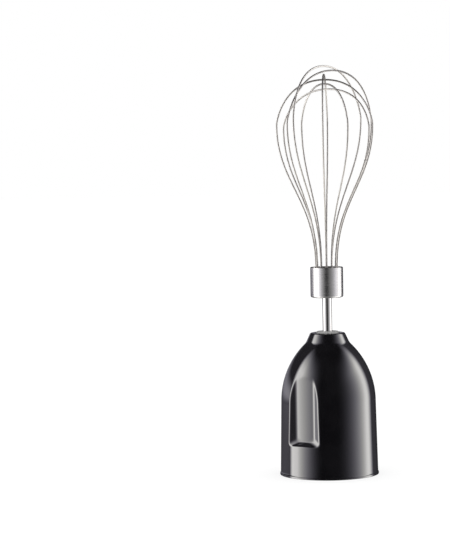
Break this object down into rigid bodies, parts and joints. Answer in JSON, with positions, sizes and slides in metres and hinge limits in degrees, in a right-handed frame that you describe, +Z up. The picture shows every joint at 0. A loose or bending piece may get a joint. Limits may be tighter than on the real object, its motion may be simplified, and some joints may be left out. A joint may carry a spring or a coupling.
{
  "type": "balloon whisk attachment with gear housing",
  "caption": "Balloon whisk on a bell-shaped planetary gear housing that plugs onto a hand blender's motor unit.",
  "frame": {"origin": "centre of the bell's rim, on the surface that the attachment stands on", "axes": "+Z up along the whisk's axis of rotation; the grip recesses face +Y and -Y"},
  "size_m": [0.0627, 0.0626, 0.2589],
  "materials": {
    "housing": "high gloss",
    "collar": "satin",
    "screw_steel": "zinc plated",
    "gearbox_plastic": "satin",
    "bush_bronze": "sintered",
    "seal_rubber": "matte",
    "coupling_plastic": "satin",
    "shaft_steel": "polished",
    "gear_plastic": "satin",
    "washer_steel": "satin",
    "carrier_steel": "satin",
    "washer_plastic": "satin",
    "hub_plastic": "satin",
    "spring_steel": "oiled",
    "rod_steel": "polished",
    "ferrule_steel": "turned and brushed",
    "plug_plastic": "satin",
    "wire_steel": "polished wire"
  },
  "bodies": {
    "base": {"housing": "housing", "coupling_collar": "collar", "collar_screws": "screw_steel", "gear_cover": "gearbox_plastic", "gear_case": "gearbox_plastic", "case_screws": "screw_steel", "input_bush": "bush_bronze", "neck_bush": "bush_bronze", "output_bush": "bush_bronze", "shaft_seal": "seal_rubber"},
    "output": {"output_hub": "hub_plastic", "carrier_plate": "carrier_steel", "carrier_ring": "carrier_steel", "planet_pins": "shaft_steel", "thrust_washer": "washer_plastic", "hub_circlip": "spring_steel", "retaining_ring": "spring_steel"},
    "input": {"drive_coupling": "coupling_plastic", "sun_shaft": "shaft_steel", "sun_gear": "gear_plastic", "input_washer": "washer_steel"},
    "planet_1": {"planet_gear_1": "gear_plastic"},
    "planet_2": {"planet_gear_2": "gear_plastic"},
    "planet_3": {"planet_gear_3": "gear_plastic"},
    "whisk": {"whisk_shaft": "rod_steel", "ferrule": "ferrule_steel", "ferrule_plug": "plug_plastic", "whisk_wire_1": "wire_steel", "whisk_wire_2": "wire_steel", "whisk_wire_3": "wire_steel", "whisk_wire_4": "wire_steel", "whisk_wire_5": "wire_steel", "whisk_wire_6": "wire_steel"}
  },
  "joints": [
    {"name": "output_spin", "type": "hinge", "parent": "base", "child": "output", "pos_m": [0, 0, 0.06], "axis": [0, 0, 1], "continuous": true},
    {"name": "input_spin", "type": "hinge", "parent": "base", "child": "input", "pos_m": [0, 0, 0.04], "axis": [0, 0, 1], "continuous": true},
    {"name": "planet_1_spin", "type": "hinge", "parent": "output", "child": "planet_1", "pos_m": [0.012, 0, 0.045], "axis": [0, 0, 1], "continuous": true},
    {"name": "planet_2_spin", "type": "hinge", "parent": "output", "child": "planet_2", "pos_m": [-0.006, 0.01039, 0.045], "axis": [0, 0, 1], "continuous": true},
    {"name": "planet_3_spin", "type": "hinge", "parent": "output", "child": "planet_3", "pos_m": [-0.006, -0.01039, 0.045], "axis": [0, 0, 1], "continuous": true},
    {"name": "whisk_pull", "type": "slide", "parent": "output", "child": "whisk", "axis": [0, 0, 1], "range_m": [0, 0.032]}
  ],
  "couplings": [
    {"joint": "input_spin", "follows": "output_spin", "ratio": 5},
    {"joint": "planet_1_spin", "follows": "output_spin", "ratio": -2.6667},
    {"joint": "planet_2_spin", "follows": "output_spin", "ratio": -2.6667},
    {"joint": "planet_3_spin", "follows": "output_spin", "ratio": -2.6667}
  ]
}
